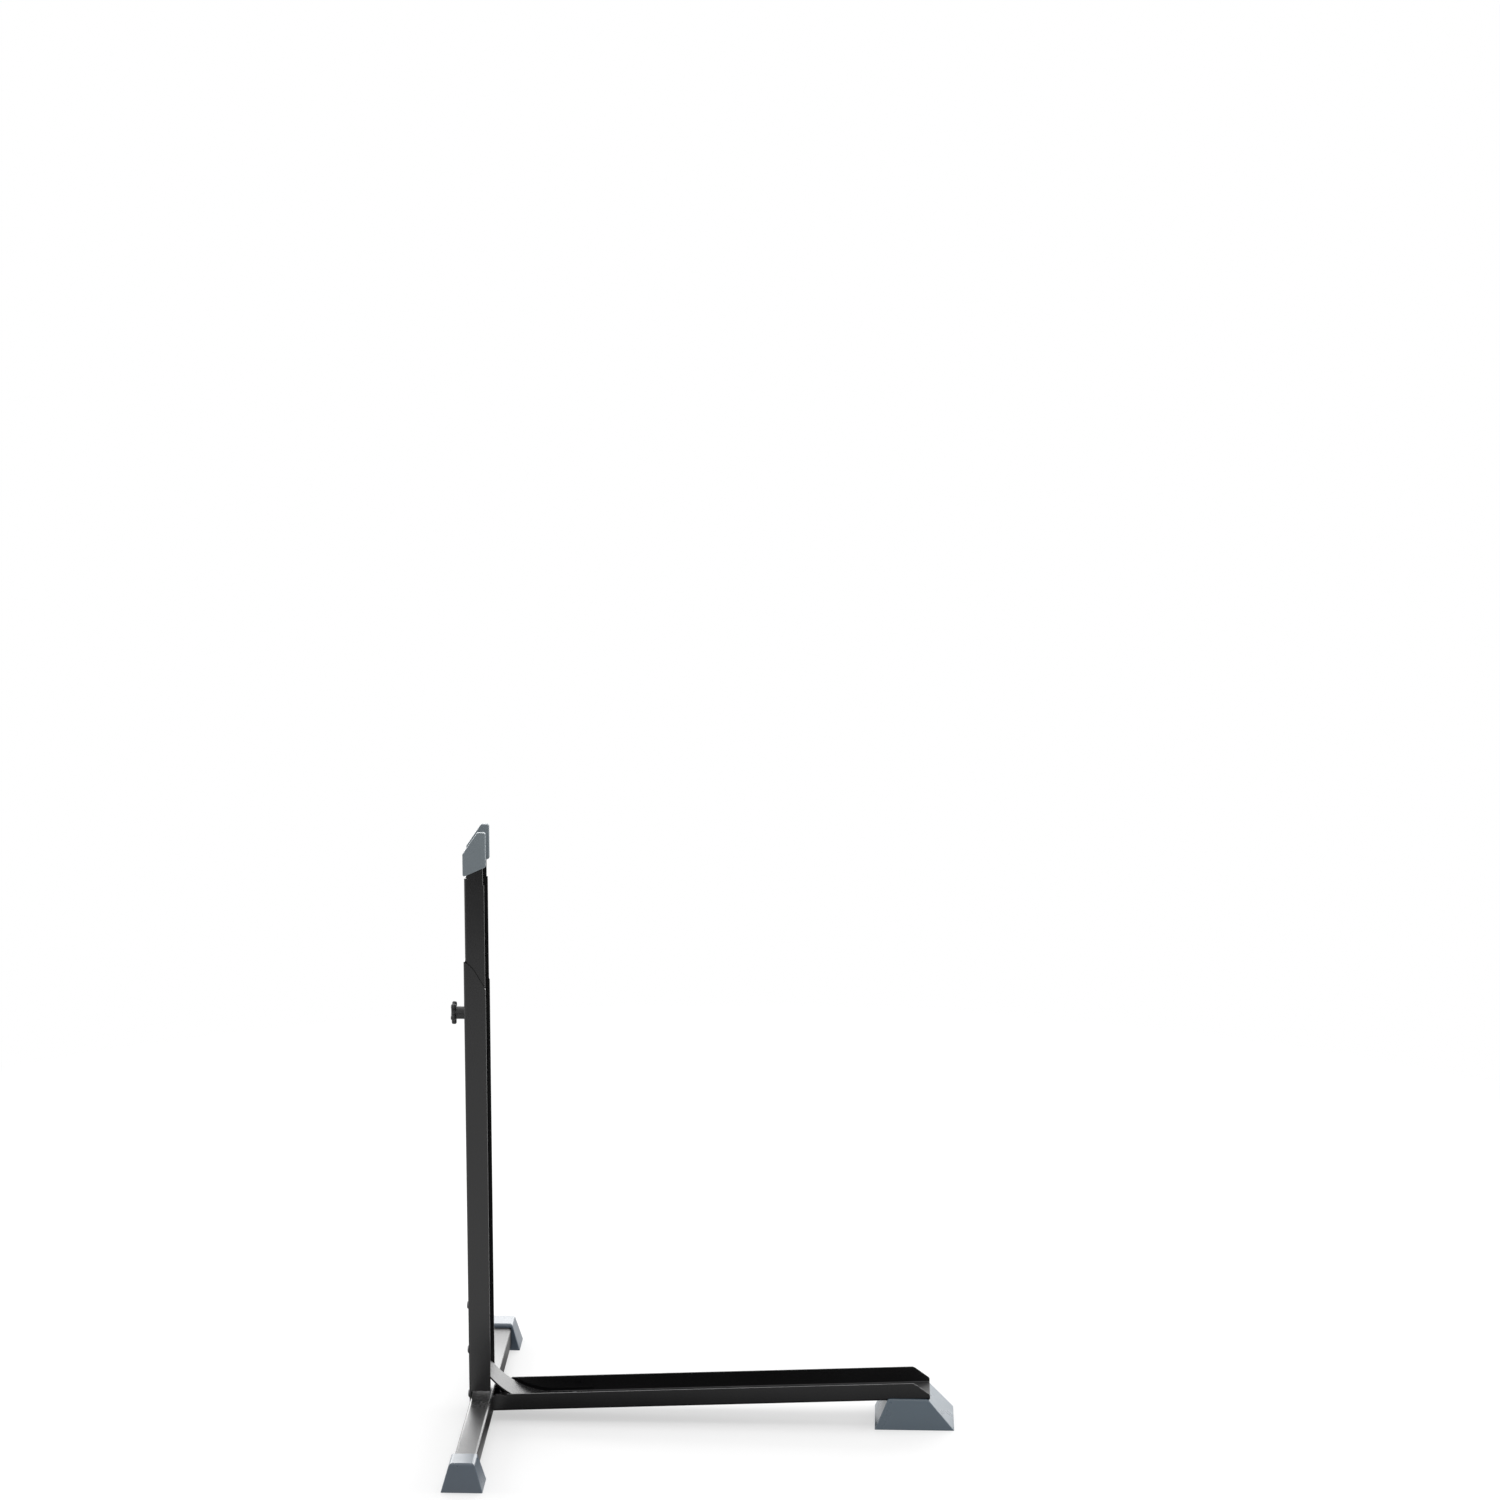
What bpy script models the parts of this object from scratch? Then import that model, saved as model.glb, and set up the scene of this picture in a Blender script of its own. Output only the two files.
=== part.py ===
"""Freestanding bike rack: a post of two telescoping channels, a channel rail, a crossbar and their feet.

A wheel stands in the corner of the post and the rail, between the two capped prongs of the post.
Metres, +Z up, +X along the rail. The numbers below are taken from the back of the lower post (X = 0), the
middle of the channels (Y = 0) and the floor (Z = 0); the root empty then moves the origin to the middle of
the footprint.
"""

import collections
import math

import bmesh
import bpy
from mathutils import Matrix

# Clearances and the sheet that the channels are bent from
GAP = 0.0003  # between pieces that touch or slide
HOLE_SLACK = 0.0003  # radial, between a screw and its hole
SHEET = 0.0015
BEND_RADIUS = 0.003  # outside of a bend
TONGUE_MARGIN = 0.0015  # between a bend and the edge of a tongue beside it

# Lower post
POST_WIDTH = 0.052
POST_DEPTH = 0.0265
POST_TOP = 0.5810
POST_SIDE_CLEARANCE = 0.008  # of its sides above the crossbar
TONGUE_SCREW_MARGIN = 0.0012  # of its web, below the lowest screw's head
POST_SLOPE_DROP = 0.0344  # height of the slope on top of the sides
POST_SLOPE_ANGLE = math.radians(59.5)
POST_SHOULDER_ANGLE = math.radians(40.0)  # where the slope starts at the web
POST_TOP_ROUND = 0.030

# Upper post, which slides in the lower one
UPPER_SETBACK = 0.0007  # its front edge behind the lower post's
UPPER_SHOWN = 0.1025  # of its web, above the lower post
UPPER_SLOT_MARGIN = 0.026  # below the clamp's slot
PRONG_SHOULDER_DROP = 0.008  # below the top of the web
PRONG_STEP_FRONT = 0.0013
PRONG_ROUND = 0.002
LIFT_UP = 0.100  # travel of the upper post
LIFT_DOWN = 0.060

# Soft caps on the prongs
CAP_WALL = 0.002
CAP_FRONT_WALL = 0.0034
CAP_BACK_WALL = 0.0042
CAP_LIFT = 0.010  # above the prong's shoulder, at its back
CAP_FRONT_LIFT = 0.0125  # its lower front corner above its lower back one
CAP_BACK_HEIGHT = 0.028
CAP_SLANT_RISE = 0.0265
CAP_TOP_LENGTH = 0.0097
CAP_CORNER = 0.002
CAP_ROUND = 0.0009

# Rail, which climbs a little towards its foot
RAIL_WIDTH = 0.0595
RAIL_HEIGHT = 0.0216
RAIL_LOW = 0.0123  # underside at its start
RAIL_RUN = 0.5369
RAIL_RISE = 0.0227
RAIL_START_ROUND = 0.007
RAIL_END_CUT = math.radians(37.5)
RAIL_END_ROUND = 0.008
RAIL_NOSE = 0.0064  # height of its sides at the end
RAIL_NOSE_ROUND = 0.003
RELIEF_START = 0.0085  # a dip in the sides where the brace comes down past them
RELIEF_LENGTH = 0.008
RELIEF_DEPTH = 0.0025
TAB_MARGIN = 0.0106  # above the middle of its screw

# Crossbar, a rectangular tube
BAR_DEPTH = 0.0265
BAR_LOW = 0.004
BAR_HIGH = 0.029
BAR_ROUND = 0.003
BAR_HALF_LENGTH = 0.2515

# Feet of the crossbar
FOOT_WALL = 0.002  # past the tube's end
FOOT_LENGTH = 0.0386
FOOT_INNER_SLOPE = 0.004
FOOT_OUTER_SLOPE = 0.006
FOOT_ROOF = 0.005
FOOT_TOP_MARGIN = 0.0016
FOOT_SPREAD = 0.0100  # how far each end reaches past the top
FOOT_ROUND = 0.003

# Foot of the rail
RAIL_FOOT_COVER = 0.0675  # under the rail's end
RAIL_FOOT_TOE = 0.030  # past it
RAIL_FOOT_OVERHANG = 0.0025  # of the rail's end past the foot's top
RAIL_FOOT_START_SLOPE = 0.016
RAIL_FOOT_LIP = 0.0014  # up the sides of the rail, at its end
RAIL_FOOT_SIDE = 0.0030
RAIL_FOOT_SPREAD = 0.0085
RAIL_FOOT_ROUND = 0.0025
POCKET_MARGIN = 0.014
POCKET_TOE_MARGIN = 0.024
POCKET_RIB = 0.004
POCKET_ROOF = 0.012
POCKET_COLUMNS = 3
POCKET_ROWS = 2

# Brace in the corner of the post and the rail
BRACE_SHEET = 0.002
BRACE_RADIUS = 0.100
BRACE_HIGH_LEG = 0.0407  # straight ends past the bend
BRACE_LOW_LEG = 0.042
BRACE_SCREW_MARGIN = 0.020

# M6 screws through the back of the post and under the rail
SCREW_RADIUS = 0.003
SCREW_HEAD_RADIUS = 0.0053
SCREW_HEAD_HEIGHT = 0.0034
SCREW_KEY = 0.004
SCREW_STICK_OUT = 0.0012
SCREW_EDGE = 0.0002
SCREW_PITCH = 0.0575
NUT_FLATS = 0.010
NUT_HEIGHT = 0.005
SPACER_RADIUS = 0.005
WEDGE_RADIUS = 0.006
WEDGE_MIDDLE = 0.0034

# Screws of the rail's foot
FOOT_SCREW_RADIUS = 0.002
FOOT_SCREW_HEAD_RADIUS = 0.004
FOOT_SCREW_HEAD_HEIGHT = 0.0022
FOOT_SCREW_KEY = 0.0025
FOOT_SCREW_LENGTH = 0.014
FOOT_SCREW_MARGIN = 0.0305  # of the first one from the foot's start
FOOT_SCREW_PITCH = 0.024

# Clamp of the upper post: a carriage bolt, a washer and a star knob
CLAMP_DROP = 0.070  # below the lower post's top
CLAMP_RADIUS = 0.0039
CLAMP_HEAD_RADIUS = 0.009
CLAMP_HEAD_HEIGHT = 0.004
CLAMP_HEAD_RIM = 0.0012
CLAMP_NECK = 0.0082
SLOT_ROUND = 0.002
WASHER_RADIUS = 0.0085
WASHER_HEIGHT = 0.0012
INSERT_RADIUS = 0.0058
KNOB_COVER = 0.0020  # knob material past the insert's end
KNOB_RADIUS = 0.0143
KNOB_LOBES = 5
KNOB_LOBE_WIDTH = 0.0064
KNOB_VALLEY_ROUND = 0.004
KNOB_HEAD = 0.0058
KNOB_ROUND = 0.0018
KNOB_HUB_RADIUS = 0.0078
KNOB_HUB_LENGTH = 0.0100

# Drawing: how finely round shapes are faceted, and how far cutters and spare sheet pass what they cut
ARC_STEP = math.radians(15.0)
ARC_ERROR = 0.00002  # most that a facet of an arc may leave it by
TURN_STEPS = 32
DOME_STEPS = 4
DOME_CROWN = 0.62  # flat middle of a button head, as a share of its radius
UPRIGHT_SHARE = 0.4  # of a foot's rounding, at its upright edges
SOLE_SHARE = 0.25
ROUND_STEPS = 3
SHARP_ANGLE = math.radians(30)
OVERCUT = 0.004
SPARE_SHEET = 0.012
WELD_DISTANCE = 1e-6
FLAT_ANGLE = 1e-3

# Places that follow from the sizes above
POST_INSIDE = SHEET + GAP
UPPER_WIDTH = POST_WIDTH - 2 * POST_INSIDE
POST_SIDE_BOTTOM = BAR_HIGH + POST_SIDE_CLEARANCE
CLAMP_HEIGHT = POST_TOP - CLAMP_DROP
SLOT_HALF = CLAMP_NECK / 2 + HOLE_SLACK
SLOT_LOW = CLAMP_HEIGHT - LIFT_UP - SLOT_HALF - SLOT_ROUND  # its round corners stay clear of the neck
SLOT_HIGH = CLAMP_HEIGHT + LIFT_DOWN + SLOT_HALF + SLOT_ROUND
UPPER_FRONT = POST_DEPTH - UPPER_SETBACK
UPPER_BOTTOM = SLOT_LOW - UPPER_SLOT_MARGIN
UPPER_WEB_TOP = POST_TOP + UPPER_SHOWN
PRONG_SHOULDER = UPPER_WEB_TOP - PRONG_SHOULDER_DROP
UPPER_INNER_FACE = POST_INSIDE + SHEET
PRONG_BACK = UPPER_INNER_FACE + BEND_RADIUS - SHEET + GAP  # past the bends, so the web can end below it
PRONG_FRONT = UPPER_FRONT - PRONG_STEP_FRONT
CAP_BACK = PRONG_BACK - GAP - CAP_BACK_WALL
CAP_FRONT = PRONG_FRONT + GAP + CAP_FRONT_WALL
CAP_SLANT_X = CAP_FRONT - CAP_TOP_LENGTH
CAP_LOW_BACK = PRONG_SHOULDER + CAP_LIFT
CAP_LOW_FRONT = CAP_LOW_BACK + CAP_FRONT_LIFT
CAP_SLANT_BOTTOM = CAP_LOW_BACK + CAP_BACK_HEIGHT
CAP_TOP = CAP_SLANT_BOTTOM + CAP_SLANT_RISE
BAR_BACK = POST_INSIDE
BAR_FRONT = BAR_BACK + BAR_DEPTH
RAIL_START = BAR_FRONT + GAP
RAIL_END_X = RAIL_START + RAIL_RUN
RAIL_SLOPE = math.atan2(RAIL_RISE, RAIL_RUN)
TAB_BACK = RAIL_START + GAP / 4  # so that its back isn't in one plane with the rail's end
LOW_SCREW_Z = BAR_HIGH - SHEET - SCREW_RADIUS - 2 * HOLE_SLACK
POST_WEB_BOTTOM = LOW_SCREW_Z - SCREW_HEAD_RADIUS - TONGUE_SCREW_MARGIN
SCREW_HEIGHTS = [LOW_SCREW_Z + row * SCREW_PITCH for row in range(3)]
TAB_TOP = LOW_SCREW_Z + TAB_MARGIN
BEND_REACH = BRACE_RADIUS / math.tan((math.pi / 2 - RAIL_SLOPE) / 2)  # of the brace, from its corner
BRACE_END_X = POST_INSIDE + BEND_REACH * math.cos(RAIL_SLOPE) + BRACE_LOW_LEG
BRACE_SCREW_X = BRACE_END_X - BRACE_SCREW_MARGIN
FOOT_TOP = BAR_HIGH + FOOT_ROOF
RAIL_FOOT_START = RAIL_END_X - RAIL_FOOT_COVER
RAIL_FOOT_END = RAIL_END_X + RAIL_FOOT_TOE
FOOT_SCREW_START = RAIL_FOOT_START + FOOT_SCREW_MARGIN
FOOT_SCREW_XS = [FOOT_SCREW_START, FOOT_SCREW_START + FOOT_SCREW_PITCH]
KNOB_FACE = -(2 * GAP + WASHER_HEIGHT + KNOB_HUB_LENGTH + KNOB_HEAD)
CLAMP_END = KNOB_FACE + KNOB_COVER + 2 * GAP
CENTRE_X = (KNOB_FACE + RAIL_FOOT_END) / 2

ScrewSize = collections.namedtuple("ScrewSize", "radius head_radius head_height key")
M6 = ScrewSize(SCREW_RADIUS, SCREW_HEAD_RADIUS, SCREW_HEAD_HEIGHT, SCREW_KEY)
M4 = ScrewSize(FOOT_SCREW_RADIUS, FOOT_SCREW_HEAD_RADIUS, FOOT_SCREW_HEAD_HEIGHT, FOOT_SCREW_KEY)

BLACK = (0.012, 0.012, 0.013)
GREY = (0.095, 0.118, 0.140)
BLACK_STEEL = (0.05, 0.05, 0.055)
BRIGHT_STEEL = (0.55, 0.55, 0.57)


def clear_scene():
    for item in list(bpy.data.objects):
        bpy.data.objects.remove(item, do_unlink=True)


def new_collection(name):
    collection = bpy.data.collections.new(name)
    bpy.context.scene.collection.children.link(collection)
    return collection


def material(name, colour, roughness, metallic):
    made = bpy.data.materials.new(name)
    made.use_nodes = True
    shader = made.node_tree.nodes["Principled BSDF"]
    shader.inputs["Base Color"].default_value = (*colour, 1.0)
    shader.inputs["Roughness"].default_value = roughness
    shader.inputs["Metallic"].default_value = metallic
    return made


def rail_bottom(x):
    """Height of the rail's underside above the floor."""
    return RAIL_LOW + (x - RAIL_START) * math.tan(RAIL_SLOPE)


def rail_web_top(x):
    return rail_bottom(x) + SHEET / math.cos(RAIL_SLOPE)


def rounded(corners):
    """The points of an outline. A corner is (x, y), or (x, y, radius) where it is round."""
    points = []
    for index, corner in enumerate(corners):
        x, y = corner[:2]
        if len(corner) == 2:
            points.append((x, y))
            continue
        before = corners[index - 1]
        after = corners[(index + 1) % len(corners)]
        arrive = math.atan2(y - before[1], x - before[0])
        leave = math.atan2(after[1] - y, after[0] - x)
        turn = (leave - arrive + math.pi) % (2 * math.pi) - math.pi
        radius = corner[2]
        reach = radius * math.tan(abs(turn) / 2)
        side = math.copysign(1, turn)
        start = arrive - side * math.pi / 2
        centre_x = x - reach * math.cos(arrive) - radius * math.cos(start)
        centre_y = y - reach * math.sin(arrive) - radius * math.sin(start)
        facet = min(ARC_STEP, 2 * math.acos(max(0.0, 1 - ARC_ERROR / radius)))
        steps = max(2, math.ceil(abs(turn) / facet))
        for step in range(steps + 1):
            angle = start + turn * step / steps
            points.append((centre_x + radius * math.cos(angle), centre_y + radius * math.sin(angle)))
    return points


def regular_polygon(count, radius):
    """Corners of a regular polygon, or of a circle where count is high."""
    angles = [2 * math.pi * step / count for step in range(count)]
    return [(radius * math.cos(angle), radius * math.sin(angle)) for angle in angles]


class Bench:
    """Makes pieces and cutters, placed from a carrier: the rack, the upper post or a screw's axis."""

    def __init__(self, parts, cutters, carrier):
        self.parts = parts
        self.cutters = cutters
        self.carrier = carrier

    def bench_on(self, name, place=(0, 0, 0), turn=(0, 0, 0)):
        """A bench whose own frame is placed and turned in this one's."""
        empty = bpy.data.objects.new(name, None)
        empty.empty_display_size = 0.02
        self.parts.objects.link(empty)
        empty.parent = self.carrier
        empty.location = place
        empty.rotation_euler = turn
        return Bench(self.parts, self.cutters, empty)

    def file(self, item, finish, place=(0, 0, 0), turn=(0, 0, 0)):
        """Files an object as a part where it has a finish, and as a cutter where it has none."""
        if finish is None:
            item.hide_render = True
            item.display_type = "WIRE"
            self.cutters.objects.link(item)
        else:
            item.data.materials.append(finish)
            self.parts.objects.link(item)
        item.parent = self.carrier
        item.location = place
        item.rotation_euler = turn
        return item

    def plate(self, name, outlines, thickness, finish=None, place=(0, 0, 0), turn=(0, 0, 0)):
        """A flat piece of an outline with any holes, in its own XY plane and centred on it."""
        curve = bpy.data.curves.new(name, "CURVE")
        curve.dimensions = "2D"
        curve.fill_mode = "BOTH"
        curve.extrude = thickness / 2
        for points in outlines:
            spline = curve.splines.new("POLY")
            spline.points.add(len(points) - 1)
            for point, (x, y) in zip(spline.points, points):
                point.co = (x, y, 0.0, 1.0)
            spline.use_cyclic_u = True
        mesh = made_mesh(bpy.data.objects.new(name + "_drawn", curve), name)
        return self.file(bpy.data.objects.new(name, mesh), finish, place, turn)

    def side_plate(self, name, outlines, thickness, finish=None, y=0.0):
        """A plate whose outline is drawn in X and Z, seen from the side of the rack."""
        return self.plate(name, outlines, thickness, finish, (0, y, 0), (math.pi / 2, 0, 0))

    def block(self, name, low, high, finish=None, top=None):
        """A box between two corners. top is the (x0, x1, y0, y1) of an upper face of another size."""
        below = (low[0], high[0], low[1], high[1])
        middle = [(a + b) / 2 for a, b in zip(low, high)]
        cage = bmesh.new()
        bmesh.ops.create_cube(cage, size=1.0)
        for corner in cage.verts:
            upper = corner.co.z > 0
            x0, x1, y0, y1 = top if top and upper else below
            x = x1 if corner.co.x > 0 else x0
            y = y1 if corner.co.y > 0 else y0
            z = high[2] if upper else low[2]
            corner.co = (x - middle[0], y - middle[1], z - middle[2])
        mesh = bpy.data.meshes.new(name)
        cage.to_mesh(mesh)
        cage.free()
        return self.file(bpy.data.objects.new(name, mesh), finish, middle)

    def turned(self, name, profile, finish=None, ring=False):
        """A round piece about its own Z axis. The profile runs down its outer side. A ring's is closed."""
        line = bpy.data.meshes.new(name)
        edges = [(index, index + 1) for index in range(len(profile) - 1)]
        if ring:
            edges.append((len(profile) - 1, 0))
        line.from_pydata([(radius, 0.0, height) for radius, height in profile], edges, [])
        drawn = bpy.data.objects.new(name + "_drawn", line)
        screw = drawn.modifiers.new("turn", "SCREW")
        screw.steps = TURN_STEPS
        screw.render_steps = TURN_STEPS
        screw.use_merge_vertices = True
        screw.merge_threshold = WELD_DISTANCE
        return self.file(bpy.data.objects.new(name, made_mesh(drawn, name)), finish)

    def hole(self, name, radius, start, end):
        """A round cutter along this bench's Z axis."""
        points = regular_polygon(TURN_STEPS, radius)
        return self.plate(name, [points], end - start, None, (0, 0, (start + end) / 2))


def made_mesh(drawn, name):
    """The welded mesh of a curve or of a modifier. The object that it was drawn with goes."""
    bpy.context.scene.collection.objects.link(drawn)
    graph = bpy.context.evaluated_depsgraph_get()
    mesh = bpy.data.meshes.new_from_object(drawn.evaluated_get(graph))
    mesh.name = name
    bpy.data.objects.remove(drawn, do_unlink=True)
    welded = bmesh.new()
    welded.from_mesh(mesh)
    bmesh.ops.remove_doubles(welded, verts=welded.verts, dist=WELD_DISTANCE)
    bmesh.ops.dissolve_limit(welded, angle_limit=FLAT_ANGLE, verts=welded.verts, edges=welded.edges)
    bmesh.ops.recalc_face_normals(welded, faces=welded.faces)
    welded.to_mesh(mesh)
    welded.free()
    mesh.shade_smooth()
    mesh.set_sharp_from_angle(angle=SHARP_ANGLE)
    return mesh


def round_edges(item, width, segments=2):
    bevel = item.modifiers.new("round", "BEVEL")
    bevel.width = width
    bevel.segments = segments
    bevel.limit_method = "ANGLE"
    bevel.angle_limit = SHARP_ANGLE
    return bevel


def round_foot(foot, width):
    """Rounds a block's top edges by the full width, and its uprights and its sole by a share of it."""
    mesh = foot.data
    weights = mesh.attributes.new("bevel_weight_edge", "FLOAT", "EDGE")
    for edge, weight in zip(mesh.edges, weights.data):
        ends_on_top = sum(mesh.vertices[end].co.z > 0 for end in edge.vertices)
        weight.value = (SOLE_SHARE, UPRIGHT_SHARE, 1.0)[ends_on_top]
    round_edges(foot, width, ROUND_STEPS).limit_method = "WEIGHT"


def combine(item, other, operation):
    boolean = item.modifiers.new(other.name, "BOOLEAN")
    boolean.operation = operation
    boolean.solver = "EXACT"
    boolean.object = other


def cut(item, *cutters):
    for cutter in cutters:
        combine(item, cutter, "DIFFERENCE")


def channel_outline(width, depth):
    """A bent channel seen on its end: the web lies at x = 0 and the flanges reach to x = depth."""
    half = width / 2
    inner = half - SHEET
    inner_bend = BEND_RADIUS - SHEET
    return rounded(
        [
            (depth, half),
            (0.0, half, BEND_RADIUS),
            (0.0, -half, BEND_RADIUS),
            (depth, -half),
            (depth, -inner),
            (SHEET, -inner, inner_bend),
            (SHEET, inner, inner_bend),
            (depth, inner),
        ]
    )


def post_shoulder():
    """Where the two slopes on top of the lower post's sides meet."""
    steep = math.tan(POST_SLOPE_ANGLE)
    gentle = math.tan(POST_SHOULDER_ANGLE)
    x = (POST_DEPTH * steep - SHEET * gentle - POST_SLOPE_DROP) / (steep - gentle)
    return x, POST_TOP - (x - SHEET) * gentle


def lower_post(rack, finish, axes):
    length = POST_TOP - POST_WEB_BOTTOM + 2 * OVERCUT
    middle = (POST_TOP + POST_WEB_BOTTOM) / 2
    outline = channel_outline(POST_WIDTH, POST_DEPTH + SPARE_SHEET)
    post = rack.plate("lower_post", [outline], length, finish, (0, 0, middle))
    side = rounded(
        [
            (-2 * POST_DEPTH, POST_WEB_BOTTOM),
            (POST_DEPTH, POST_WEB_BOTTOM),
            (POST_DEPTH, POST_TOP - POST_SLOPE_DROP),
            (*post_shoulder(), POST_TOP_ROUND),
            (SHEET, POST_TOP),
            (-2 * POST_DEPTH, POST_TOP),
        ]
    )
    combine(post, rack.side_plate("post_side", [side], POST_WIDTH + 2 * OVERCUT), "INTERSECT")
    tongue_half = POST_WIDTH / 2 - BEND_RADIUS - TONGUE_MARGIN
    for hand, name in ((-1, "near"), (1, "far")):
        inner, outer = sorted((hand * tongue_half, hand * POST_WIDTH))
        low = (-OVERCUT, inner, POST_WEB_BOTTOM - OVERCUT)
        high = (POST_DEPTH + OVERCUT, outer, POST_SIDE_BOTTOM)
        cut(post, rack.block("post_corner_" + name, low, high))
    for row, axis in enumerate(axes["post"]):
        cut(post, axis.hole(f"post_hole_{row}", SCREW_RADIUS + HOLE_SLACK, -OVERCUT, SHEET + OVERCUT))
    clamp_radius = CLAMP_RADIUS + HOLE_SLACK
    cut(post, axes["clamp"].hole("clamp_hole", clamp_radius, -OVERCUT, SHEET + OVERCUT))
    return post


def prong_side(inset):
    """The slanted top of a prong under its cap: the height at its back, its top and the slant's end."""
    wall = CAP_WALL + GAP + inset
    rise = CAP_TOP - CAP_SLANT_BOTTOM
    run = CAP_SLANT_X - CAP_BACK
    drop = wall * math.hypot(rise, run) / run
    back_top = CAP_SLANT_BOTTOM + (PRONG_BACK - CAP_BACK) * rise / run - drop
    top = CAP_TOP - wall
    top_x = CAP_BACK + (top + drop - CAP_SLANT_BOTTOM) * run / rise
    return back_top, top, top_x


def upper_post(lift, finish):
    """Bent like the lower post; above the web its flanges go on as two prongs."""
    length = CAP_TOP - UPPER_BOTTOM + 2 * OVERCUT
    middle = (CAP_TOP + UPPER_BOTTOM) / 2
    outline = channel_outline(UPPER_WIDTH, POST_DEPTH + SPARE_SHEET)
    post = lift.plate("upper_post", [outline], length, finish, (POST_INSIDE, 0, middle))
    back_top, prong_top, slant_x = prong_side(0.0)
    side = rounded(
        [
            (POST_INSIDE - OVERCUT, UPPER_BOTTOM),
            (UPPER_FRONT, UPPER_BOTTOM),
            (UPPER_FRONT, PRONG_SHOULDER),
            (PRONG_FRONT, PRONG_SHOULDER),
            (PRONG_FRONT, prong_top, PRONG_ROUND),
            (slant_x, prong_top, PRONG_ROUND),
            (PRONG_BACK, back_top, PRONG_ROUND),
            (PRONG_BACK, UPPER_WEB_TOP),
            (POST_INSIDE - OVERCUT, UPPER_WEB_TOP),
        ]
    )
    combine(post, lift.side_plate("upper_side", [side], UPPER_WIDTH + 2 * OVERCUT), "INTERSECT")
    slot = rounded(
        [
            (SLOT_LOW, -SLOT_HALF, SLOT_ROUND),
            (SLOT_HIGH, -SLOT_HALF, SLOT_ROUND),
            (SLOT_HIGH, SLOT_HALF, SLOT_ROUND),
            (SLOT_LOW, SLOT_HALF, SLOT_ROUND),
        ]
    )
    place = (UPPER_INNER_FACE, 0, 0)
    cut(post, lift.plate("clamp_slot", [slot], 2 * (SHEET + OVERCUT), None, place, (0, -math.pi / 2, 0)))
    return post


def prong_cap(lift, finish, name, hand):
    """A soft cap over a prong, open below."""
    thickness = SHEET + 2 * (GAP + CAP_WALL)
    y = hand * (UPPER_WIDTH - SHEET) / 2
    outside = rounded(
        [
            (CAP_BACK, CAP_LOW_BACK, CAP_CORNER),
            (CAP_FRONT, CAP_LOW_FRONT, CAP_CORNER),
            (CAP_FRONT, CAP_TOP, CAP_CORNER),
            (CAP_SLANT_X, CAP_TOP, CAP_CORNER),
            (CAP_BACK, CAP_SLANT_BOTTOM, CAP_CORNER),
        ]
    )
    cap = lift.side_plate(name, [outside], thickness, finish, y)
    round_edges(cap, CAP_ROUND)
    back_top, prong_top, slant_x = prong_side(-GAP)
    socket = rounded(
        [
            (PRONG_BACK - GAP, PRONG_SHOULDER),
            (PRONG_FRONT + GAP, PRONG_SHOULDER),
            (PRONG_FRONT + GAP, prong_top, PRONG_ROUND),
            (slant_x, prong_top, PRONG_ROUND),
            (PRONG_BACK - GAP, back_top, PRONG_ROUND),
        ]
    )
    cut(cap, lift.side_plate(name + "_socket", [socket], SHEET + 2 * GAP, None, y))
    return cap


def above_rail(x, height, *radius):
    """A corner of a side outline, at a height above the rail's underside."""
    return (x, rail_bottom(x) + height, *radius)


def base_rail(rack, finish, axes):
    """The rail is drawn on its end, laid along X at its slope, and trimmed by its side outline."""
    start_x = RAIL_START - 2 * RAIL_HEIGHT
    end_x = RAIL_END_X + 2 * RAIL_HEIGHT
    length = (end_x - start_x) / math.cos(RAIL_SLOPE)
    middle_x = (start_x + end_x) / 2
    laid = Matrix.Rotation(-RAIL_SLOPE, 3, "Y") @ Matrix(((0, 0, 1), (0, -1, 0), (1, 0, 0)))
    outline = channel_outline(RAIL_WIDTH, RAIL_HEIGHT + SPARE_SHEET)
    place = (middle_x, 0, rail_bottom(middle_x))
    rail = rack.plate("base_rail", [outline], length, finish, place, laid.to_euler())
    cut_run = (RAIL_HEIGHT - RAIL_NOSE) / math.tan(RAIL_END_CUT)
    relief_end = RAIL_START + RELIEF_START + RELIEF_LENGTH
    side = rounded(
        [
            above_rail(RAIL_START, -OVERCUT),
            above_rail(RAIL_END_X, -OVERCUT),
            above_rail(RAIL_END_X, RAIL_NOSE, RAIL_NOSE_ROUND),
            above_rail(RAIL_END_X - cut_run, RAIL_HEIGHT, RAIL_END_ROUND),
            above_rail(relief_end + RELIEF_DEPTH, RAIL_HEIGHT),
            above_rail(relief_end, RAIL_HEIGHT - RELIEF_DEPTH),
            above_rail(RAIL_START + RELIEF_START, RAIL_HEIGHT),
            above_rail(RAIL_START, RAIL_HEIGHT, RAIL_START_ROUND),
        ]
    )
    combine(rail, rack.side_plate("rail_side", [side], RAIL_WIDTH + 2 * OVERCUT), "INTERSECT")
    tab_half = RAIL_WIDTH / 2 - BEND_RADIUS - TONGUE_MARGIN
    tab_low = (TAB_BACK, -tab_half, RAIL_LOW + SHEET / 3)
    tab_high = (TAB_BACK + SHEET, tab_half, TAB_TOP)
    combine(rail, rack.block("rail_tab", tab_low, tab_high), "UNION")
    hole_radius = SCREW_RADIUS + HOLE_SLACK
    cut(rail, axes["post"][0].hole("tab_hole", hole_radius, TAB_BACK - OVERCUT, TAB_BACK + SHEET + OVERCUT))
    cut(rail, axes["brace"].hole("rail_brace_hole", hole_radius, -OVERCUT, SHEET + OVERCUT))
    for number, axis in enumerate(axes["foot"]):
        radius = FOOT_SCREW_RADIUS + HOLE_SLACK
        cut(rail, axis.hole(f"rail_foot_hole_{number}", radius, -OVERCUT, SHEET + OVERCUT))
    return rail


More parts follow.
